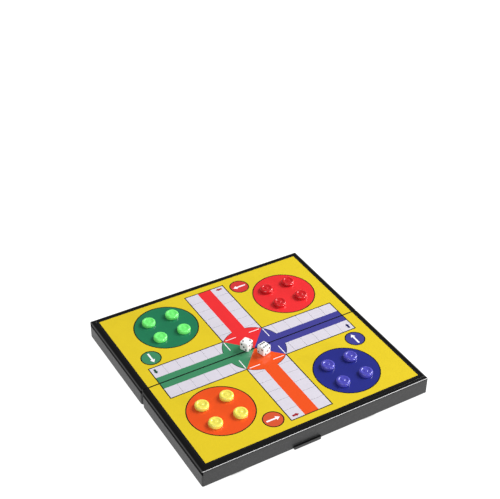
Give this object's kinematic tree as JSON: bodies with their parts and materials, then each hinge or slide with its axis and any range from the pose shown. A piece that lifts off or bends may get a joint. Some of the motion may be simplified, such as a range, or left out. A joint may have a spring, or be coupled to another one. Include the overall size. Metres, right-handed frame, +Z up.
{
  "type": "folding ludo board box",
  "caption": "Black hinged board box, open flat, with a printed cross-and-circle race board on its two trays, magnetic playing pieces and dice.",
  "frame": {"origin": "on the surface that the open board stands on, under the middle of its footprint, which is the middle of the hinge line", "axes": "+X along the hinge line, left to right as seen from the finger tab in the picture; +Y away from that side, over the rear half; +Z up, out of the playing surface"},
  "size_m": [0.2, 0.1966, 0.0261],
  "materials": {
    "black_plastic": "satin moulded black plastic, polished on the rim's rounded edge",
    "sheet_steel": "plain rolled steel sheet",
    "yellow_print": "glossy printed sheet, yellow ground",
    "pin_steel": "drawn steel wire",
    "green_piece": "glossy moulded light green plastic",
    "red_piece": "glossy moulded red plastic",
    "blue_piece": "glossy moulded violet blue plastic",
    "yellow_piece": "glossy moulded pale yellow plastic",
    "magnet": "dark sintered magnet",
    "die_white": "glossy white plastic",
    "pip_black": "black paint in the pips",
    "red_ink": "glossy printed red",
    "orange_ink": "glossy printed orange",
    "blue_ink": "glossy printed blue",
    "green_ink": "glossy printed green",
    "white_ink": "glossy printed white",
    "black_ink": "glossy printed black lines"
  },
  "bodies": {
    "rear_half": {"rear_shell": "black_plastic", "rear_steel_plate": "sheet_steel", "rear_print_sheet": "yellow_print", "left_hinge_pin": "pin_steel", "right_hinge_pin": "pin_steel"},
    "front_half": {"front_shell": "black_plastic", "front_steel_plate": "sheet_steel", "front_print_sheet": "yellow_print"},
    "green_piece_1": {"green_disc_1": "green_piece", "green_magnet_1": "magnet"},
    "green_piece_2": {"green_disc_2": "green_piece", "green_magnet_2": "magnet"},
    "green_piece_3": {"green_disc_3": "green_piece", "green_magnet_3": "magnet"},
    "green_piece_4": {"green_disc_4": "green_piece", "green_magnet_4": "magnet"},
    "red_piece_1": {"red_disc_1": "red_piece", "red_magnet_1": "magnet"},
    "red_piece_2": {"red_disc_2": "red_piece", "red_magnet_2": "magnet"},
    "red_piece_3": {"red_disc_3": "red_piece", "red_magnet_3": "magnet"},
    "red_piece_4": {"red_disc_4": "red_piece", "red_magnet_4": "magnet"},
    "blue_piece_1": {"blue_disc_1": "blue_piece", "blue_magnet_1": "magnet"},
    "blue_piece_2": {"blue_disc_2": "blue_piece", "blue_magnet_2": "magnet"},
    "blue_piece_3": {"blue_disc_3": "blue_piece", "blue_magnet_3": "magnet"},
    "blue_piece_4": {"blue_disc_4": "blue_piece", "blue_magnet_4": "magnet"},
    "yellow_piece_1": {"yellow_disc_1": "yellow_piece", "yellow_magnet_1": "magnet"},
    "yellow_piece_2": {"yellow_disc_2": "yellow_piece", "yellow_magnet_2": "magnet"},
    "yellow_piece_3": {"yellow_disc_3": "yellow_piece", "yellow_magnet_3": "magnet"},
    "yellow_piece_4": {"yellow_disc_4": "yellow_piece", "yellow_magnet_4": "magnet"},
    "left_die_cube": {"left_die": "die_white"},
    "right_die_cube": {"right_die": "die_white"}
  },
  "joints": [
    {"name": "fold", "type": "hinge", "parent": "rear_half", "child": "front_half", "pos_m": [0, 0, 0.00205], "axis": [1, 0, 0], "range_deg": [0, 180]},
    {"name": "green_piece_1_lift", "type": "slide", "parent": "rear_half", "child": "green_piece_1", "axis": [0, 0, 1], "range_m": [0, 0.02]},
    {"name": "green_piece_2_lift", "type": "slide", "parent": "rear_half", "child": "green_piece_2", "axis": [0, 0, 1], "range_m": [0, 0.02]},
    {"name": "green_piece_3_lift", "type": "slide", "parent": "rear_half", "child": "green_piece_3", "axis": [0, 0, 1], "range_m": [0, 0.02]},
    {"name": "green_piece_4_lift", "type": "slide", "parent": "rear_half", "child": "green_piece_4", "axis": [0, 0, 1], "range_m": [0, 0.02]},
    {"name": "red_piece_1_lift", "type": "slide", "parent": "rear_half", "child": "red_piece_1", "axis": [0, 0, 1], "range_m": [0, 0.02]},
    {"name": "red_piece_2_lift", "type": "slide", "parent": "rear_half", "child": "red_piece_2", "axis": [0, 0, 1], "range_m": [0, 0.02]},
    {"name": "red_piece_3_lift", "type": "slide", "parent": "rear_half", "child": "red_piece_3", "axis": [0, 0, 1], "range_m": [0, 0.02]},
    {"name": "red_piece_4_lift", "type": "slide", "parent": "rear_half", "child": "red_piece_4", "axis": [0, 0, 1], "range_m": [0, 0.02]},
    {"name": "blue_piece_1_lift", "type": "slide", "parent": "front_half", "child": "blue_piece_1", "axis": [0, 0, 1], "range_m": [0, 0.02]},
    {"name": "blue_piece_2_lift", "type": "slide", "parent": "front_half", "child": "blue_piece_2", "axis": [0, 0, 1], "range_m": [0, 0.02]},
    {"name": "blue_piece_3_lift", "type": "slide", "parent": "front_half", "child": "blue_piece_3", "axis": [0, 0, 1], "range_m": [0, 0.02]},
    {"name": "blue_piece_4_lift", "type": "slide", "parent": "front_half", "child": "blue_piece_4", "axis": [0, 0, 1], "range_m": [0, 0.02]},
    {"name": "yellow_piece_1_lift", "type": "slide", "parent": "front_half", "child": "yellow_piece_1", "axis": [0, 0, 1], "range_m": [0, 0.02]},
    {"name": "yellow_piece_2_lift", "type": "slide", "parent": "front_half", "child": "yellow_piece_2", "axis": [0, 0, 1], "range_m": [0, 0.02]},
    {"name": "yellow_piece_3_lift", "type": "slide", "parent": "front_half", "child": "yellow_piece_3", "axis": [0, 0, 1], "range_m": [0, 0.02]},
    {"name": "yellow_piece_4_lift", "type": "slide", "parent": "front_half", "child": "yellow_piece_4", "axis": [0, 0, 1], "range_m": [0, 0.02]},
    {"name": "left_die_lift", "type": "slide", "parent": "rear_half", "child": "left_die_cube", "axis": [0, 0, 1], "range_m": [0, 0.02]},
    {"name": "right_die_lift", "type": "slide", "parent": "front_half", "child": "right_die_cube", "axis": [0, 0, 1], "range_m": [0, 0.02]}
  ]
}
